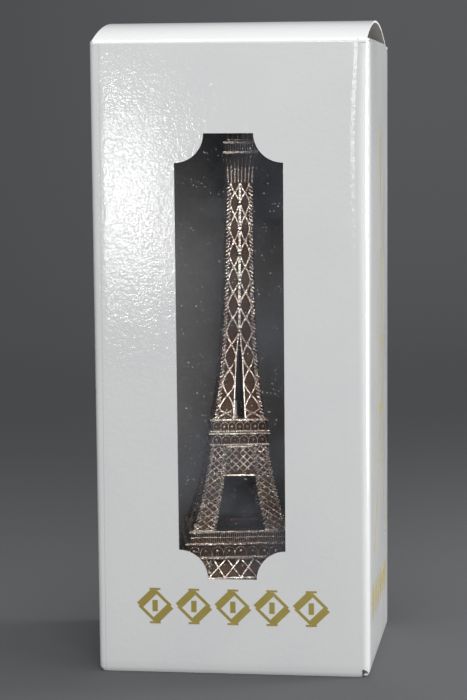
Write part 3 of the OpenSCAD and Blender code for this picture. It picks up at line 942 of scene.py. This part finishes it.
arch_parts += crossed_face(*girder_face, lean, 4, 0.55, 0.4)
for level, size in ((girder_low, 0.9), (girder_top - 0.3, 0.7)):
    half = np.interp(level, girder_levels, girder_half)
    arch_parts.append(ribs(leg_face(level, -half, 0.55), leg_face(level, half, 0.55), lean, size, 0.5, 0.5))
panel_level = (girder_low + girder_top) / 2
panel = ribs(leg_face(panel_level, -8.4, 1.3), leg_face(panel_level, 8.4, 1.3), lean, 5.0, 0.35, 0.3)
arch_parts.append(unrubbed(panel))
hanger_x = np.linspace(-7.8, 7.8, 13)
hanger_low = spring_high + (crown_high - spring_high) * np.sqrt(1 - (hanger_x / arch_reach) ** 2) + 0.5
hangers = leg_face(hanger_low, hanger_x, 0.8), leg_face(girder_low, hanger_x, 0.8)
arch_parts.append(ribs(*hangers, lean, 0.4, 0.3, 0.4))
for quarter, name in enumerate(("front", "right", "back", "left")):
    cast_piece("tower_arch_" + name, quarter_turned(arch_parts, quarter), ["arch_" + name])


# ---------------------------------------------------------------- Tower: first floor
# A deck, a frieze of small niches with bosses over them, and a gallery with close-set balusters
# between its floor and its roof rings.
def plate(half, low, high, well=0.0, lip=0.12):
    """A square plate with worn edges, solid or with a square well, as a profile carried round."""
    rim = [(half - lip, low, 0.5), (half, low + lip, 1), (half, high - lip, 1), (half - lip, high, 1)]
    if well:
        return carried_round([(well, low, 0.1), *rim, (well, high, 0.3), (well, low, 0.1)])
    return carried_round([(0, low, 0.1), *rim, (0, high, 0.3)])


def wall_ring(half, low, high, well=0.0):
    """A plain dark wall behind the ornament, square in plan."""
    rim = [(half, low, 0), (half, high, 0)]
    if well:
        return carried_round([(well, low, 0), *rim, (well, high, 0), (well, low, 0)])
    return carried_round([(0, low, 0), *rim, (0, high, 0)])


def on_each_side(parts):
    """Parts of the front side, repeated on all four."""
    return [part for quarter in range(4) for part in quarter_turned(parts, quarter)]


def niches(half, low, high, count, width=0.3, height=0.3):
    """A row of round-headed niches along the front side: uprights, and a half ring of four ribs on
    each pair of them."""
    edges = np.linspace(-half + 0.25, half - 0.25, count + 1)
    radius = (edges[1] - edges[0]) / 2
    spring = high - radius - 0.05
    out = np.array([0, -1, 0])
    feet = spots(edges, -half, low)
    uprights = ribs(feet, feet + [0, 0, spring - low], out, width, height)
    turn = np.linspace(0, np.pi, 5)
    centre = (edges[:-1] + edges[1:]) / 2
    ring = spots(centre[:, None] + radius * np.cos(turn), -half, spring + radius * np.sin(turn))
    return [uprights, ribs(ring[:, 1:], ring[:, :-1], out, 0.8 * width, 0.9 * height)]


def bosses(centres, outward, radius, height):
    """Rubbed bosses: low domes of two rings and a tip, their axes outward."""
    centres = np.asarray(centres, float).reshape(-1, 3)
    outward = np.asarray(outward, float) / np.linalg.norm(outward)
    side = np.cross([0, 0, 1.0], outward)
    rise_axis = np.cross(outward, side)
    angle = 2 * np.pi * np.arange(8) / 8
    reach, rise = np.array([1.0, 0.9, 0.5]), np.array([-0.4, 0.45, 0.9])
    around = np.cos(angle)[:, None] * side + np.sin(angle)[:, None] * rise_axis
    rings = reach[:, None, None] * radius * around[None] + rise[:, None, None] * height * outward
    dome = np.concatenate([rings.reshape(-1, 3), [height * outward], [-0.4 * height * outward]])
    ring = np.arange(8)
    tip = np.stack([ring + 16, (ring + 1) % 8 + 16, 0 * ring + 24], -1)
    foot = np.stack([(ring + 1) % 8, ring, 0 * ring + 25], -1)
    base = len(dome) * np.arange(len(centres))[:, None, None]
    faces = [(base + one).reshape(-1, one.shape[1]) for one in (grid_faces(3, 8, wrap=True), tip, foot)]
    rub = np.concatenate([np.zeros(8), np.full(8, 0.7), np.ones(9), [0]])
    return (centres[:, None] + dome).reshape(-1, 3), faces, np.tile(rub, len(centres))


def balusters(half, low, high, pitch, width=0.22):
    """Close-set upright ribs along the front side."""
    x = np.linspace(-half + 0.3, half - 0.3, int((2 * half - 0.6) / pitch) + 1)
    feet = spots(x, -half, low)
    return [ribs(feet, feet + [0, 0, high - low], [0, -1, 0], width, 0.2)]


def boss_row(half, height, count, radius, rise):
    """Bosses along the front side, one in each niche."""
    x = np.linspace(-half, half, 2 * count + 1)[1::2]
    return bosses(spots(x, -half, height), [0, -1, 0], radius, rise)


cast_piece("tower_first_floor_deck", [plate(14.2, 24.4, 25.2, well=4)], ["first_floor_deck"], 0.05)
frieze_half = 13.55
parts = [wall_ring(frieze_half, 25.2, 28.0, well=12.5)]
parts += on_each_side([*niches(frieze_half, 25.3, 27.7, 9), boss_row(frieze_half, 26.5, 9, 0.5, 0.42)])
cast_piece("tower_first_floor_frieze", parts, ["first_floor_frieze"])
parts = [plate(14.2, 28.0, 28.7, well=5.8), plate(13.2, 30.9, 31.6, well=5.8)]
parts.append(wall_ring(12.8, 28.6, 31.0, well=12))
hand_rail = ribs([-12.8, -12.8, 29.9], [12.8, -12.8, 29.9], [0, -1, 0], 0.3, 0.42)
parts += on_each_side([*balusters(12.85, 28.7, 30.9, 0.52), hand_rail])
cast_piece("tower_first_floor_gallery", parts, ["first_floor_gallery"], 0.04)


# ---------------------------------------------------------------- Tower: belts and second floor
# Belts of small diamonds close each pair of upper legs. Above them are a niche frieze, a doubled
# plate, a second frieze with bosses, and the deck that the column is screwed to.
belt_levels = np.linspace(45.2, 52.5, 5)
belt_out = at_height(upper_outs, belt_levels)
belt_half = belt_out - at_height(upper_sides, belt_levels) + 0.3
belt_face = [spots(side * belt_half, 0.55 - belt_out, belt_levels) for side in (-1, 1)]
lean = np.array([0, -1, 0.14])
braces = crossed_face(*belt_face, lean, 4, 0.4, 0.38)
# Painted shade: the belt's braces are made darker, their rub scaled to 0.72
belt_parts = [(points, faces, 0.72 * rub) for points, faces, rub in braces]
belt_parts.append(ribs(belt_face[0][[0, -1]], belt_face[1][[0, -1]], lean, 0.95, 0.5, 0.5))
middle_line = (belt_face[0] + belt_face[1]) / 2 + [0, 0.75, 0]
belt_parts.append(unrubbed(ribs(middle_line[0], middle_line[-1], lean, 2 * belt_half[0], 0.35, 0.3)))
for quarter, name in enumerate(("front", "right", "back", "left")):
    cast_piece("tower_belt_" + name, quarter_turned(belt_parts, quarter), ["belt_" + name])

parts = [plate(7.7, 52.6, 53.3, well=4.0), wall_ring(7.1, 53.2, 55.6, well=4.6)]
parts += on_each_side([*niches(7.15, 53.3, 55.4, 6), boss_row(7.15, 54.2, 6, 0.42, 0.36)])
cast_piece("tower_second_floor_frieze", parts, ["second_floor_frieze"], 0.04)
parts = [plate(8.0, 55.6, 56.1), plate(7.85, 56.2, 56.75)]
parts += [wall_ring(6.95, 56.1, 59.1), plate(7.6, 59.0, 59.7)]
parts += on_each_side([*niches(7.0, 56.8, 58.9, 7), boss_row(7.0, 57.6, 7, 0.42, 0.36)])
cast_piece("tower_second_floor_deck", parts, ["second_floor_deck"], 0.04)


# ---------------------------------------------------------------- Tower: column
# The shaft: four corner legs that draw together, and in each half of a face crossed braces bent like
# an ogive, between a corded edge and a middle bar. A rubbed boss covers every crossing on the bar.
def ogives(low_line, high_line, width, height):
    """Braces that rise from each node of one line to the next node of the other, in a slack S."""
    t = np.linspace(0, 1, 7)[None, :, None]
    ease = t - 0.07 * np.sin(2 * np.pi * t)
    path = low_line[:-1, None] * (1 - ease) + high_line[1:, None] * ease
    path[..., 2:] = low_line[:-1, None, 2:] * (1 - t) + high_line[1:, None, 2:] * t
    return ribs(path[:, :-1], path[:, 1:], [0, -1, 0], width, height)


column_outs = [(59.7, 6.6), (63.5, 5.9), (70, 5.1), (82, 4.2), (100, 3.6), (120, 3.3)]
column_gaps = [(59.7, 1.2), (70, 0.75), (82, 0.25), (120, 0.2)]
legs_meet = 82
fine = np.linspace(59.7, 120, 40)
fine_out, fine_gap = at_height(column_outs, fine), at_height(column_gaps, fine)
middle, half = (fine_out + fine_gap) / 2, (fine_out - fine_gap) / 2 - 0.42
closed = fine >= legs_meet
parts = []
for cx, cy in leg_corners:
    leg_x = cx * middle[:, None] + leg_corners[None, :, 0] * half[:, None]
    leg_y = cy * middle[:, None] + leg_corners[None, :, 1] * half[:, None]
    parts.append(core(spots(leg_x, leg_y, fine[:, None])))
    parts.append(twisted_bar(spots(cx * (fine_out - 0.55), cy * (fine_out - 0.55), fine), 0.5, 1.25))
inner = leg_corners[None] * (fine_out[closed] - 0.9)[:, None, None]
parts.append(core(spots(inner[..., 0], inner[..., 1], fine[closed][:, None])))

# The front side: one bay of braces between each two heights, the lowest cut short by the deck
bays = np.array([59.7, 62.2, 68.8, 75.4, 82.0, 88.6, 95.2, 101.8, 108.4, 115.0, 120.0])
column_out, column_gap = at_height(column_outs, bays), at_height(column_gaps, bays)
bar_place = np.where(bays < legs_meet, column_gap + 0.3, 0.14)
half_way = (bays[:-1] + bays[1:]) / 2
half_way_x = np.interp(half_way, bays, (column_out + column_gap - 0.45) / 2)
half_way_y = 0.1 - np.interp(half_way, bays, column_out)
side_parts = []
for side in (-1, 1):
    outer_line = spots(side * (column_out - 0.9), 0.42 - column_out, bays)
    inner_line = spots(side * bar_place, 0.42 - column_out, bays)
    side_parts += [ogives(outer_line, inner_line, 0.55, 0.5), ogives(inner_line, outer_line, 0.55, 0.42)]
    side_parts.append(ribs(inner_line[:-1], inner_line[1:], [0, -1, 0], 0.5, 0.5))
    edge = spots(side * (fine_out - 0.1), 0.12 - fine_out, fine)
    side_parts.append(cord(edge, [-side, 0, 0], [0, -1, 0], 1.0, 0.95))
    side_parts.append(bosses(spots(side * half_way_x, half_way_y, half_way), [0, -1, 0], 0.3, 0.28))
side_parts.append(bosses(spots(0, 0.1 - column_out, bays)[4:-1], [0, -1, 0], 0.78, 0.45))
parts += on_each_side(side_parts)
cast_piece("tower_column", parts, ["column"])


def screw_steel():
    """Zinc-plated steel with turned rings and a faint yellow passivation."""
    finish = Finish("plated_screw_steel")
    turned = finish.noise(1800, 2)
    finish.set(
        finish.shader,
        {
            "Base Color": finish.mix(finish.noise(300, 2), (0.55, 0.54, 0.50), (0.68, 0.66, 0.60)),
            "Metallic": 1.0,
            "Roughness": 0.28 + 0.18 * turned,
            "Normal": finish.bump(turned, 0.01 * MM),
        },
    )
    return finish.material


steel = screw_steel()
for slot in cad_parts["column_screw"].material_slots:
    slot.material = steel


# ---------------------------------------------------------------- Tower: top
# A bracket flares from the column on seven ribs a side and carries the top gallery: two pale plates
# with a dark band between them. On it are a square cabin, a turned lantern and a pinned mast.
flare = [(0, 120, 0), (3.1, 120, 0), (3.25, 123, 0), (3.6, 125.2, 0), (4.1, 127.5, 0), (0, 127.5, 0)]
rib_x = np.linspace(-1, 1, 8)
ladder = [(3.25, 120.1), (3.35, 122.2), (3.5, 124.2), (3.8, 126), (4.2, 127.3)]
rib_parts = []
for (r0, z0), (r1, z1) in zip(ladder, ladder[1:]):
    starts, ends = spots(rib_x * (r0 - 0.25), 0.1 - r0, z0), spots(rib_x * (r1 - 0.25), 0.1 - r1, z1)
    points, faces, rub = ribs(starts, ends, [0, -1, 0], 0.42, 0.3)
    rib_parts.append((points, faces, rub * (1 if z0 < 124 else 0.5)))
cast_piece("tower_top_bracket", [carried_round(flare)] + on_each_side(rib_parts), ["third_floor_bracket"])

parts = [plate(4.5, 127.5, 128.3), wall_ring(4.0, 128.2, 130.2), plate(4.5, 130.0, 130.8)]
parts += on_each_side(balusters(4.02, 128.3, 130.0, 0.62, 0.24))
cast_piece("tower_top_gallery", parts, ["third_floor_gallery"], 0.04)

parts = [wall_ring(3.2, 130.8, 134.3), plate(3.5, 130.8, 131.3), plate(3.5, 133.9, 134.5)]
upright_x = np.array([-3.15, -1.9, -0.65, 0.65, 1.9, 3.15])
feet = spots(upright_x, -3.15, 131.3)
parts += on_each_side([ribs(feet, feet + [0, 0, 2.6], [0, -1, 0], 0.4, 0.3)])
cast_piece("tower_cabin", parts, ["cabin"], 0.04)

turn = np.linspace(0, np.pi / 2, 9)
dome = [(2.6 * np.cos(a), 135.3 + 2.6 * np.sin(a), 0.5 + 0.4 * np.sin(a)) for a in turn[:6]]
lantern = [(0, 134.5, 0), (3.0, 134.5, 0.6), (3.0, 135.2, 1), (2.75, 135.3, 0.6), *dome[1:]]
lantern += [(1.4, 137.9, 0.6), (1.4, 140.6, 0.7), (1.55, 140.8, 1), (1.5, 141.3, 1)]
lantern += [(1.3, 141.5, 0.9), (0, 141.5, 0.6)]
parts = [carried_round(lantern, 24)]
angle = 2 * np.pi * np.arange(8) / 8
around = spots(np.cos(angle), np.sin(angle), 0)
parts.append(ribs(around * 1.38 + [0, 0, 138], around * 1.38 + [0, 0, 140.5], around, 0.4, 0.22))
cast_piece("tower_lantern", parts, ["lantern"])

mast = [(0, 138.5, 0), (0.55, 138.5, 0), (0.55, 145, 0.6), (0.5, 148.6, 0.9), (0.42, 149.0, 0.9)]
mast += [(0.62, 149.2, 1), (0.7, 149.5, 1), (0.6, 149.8, 1), (0.3, 149.97, 1), (0, 150, 1)]
cast_piece("tower_mast", [carried_round(mast, 16)], ["mast"])
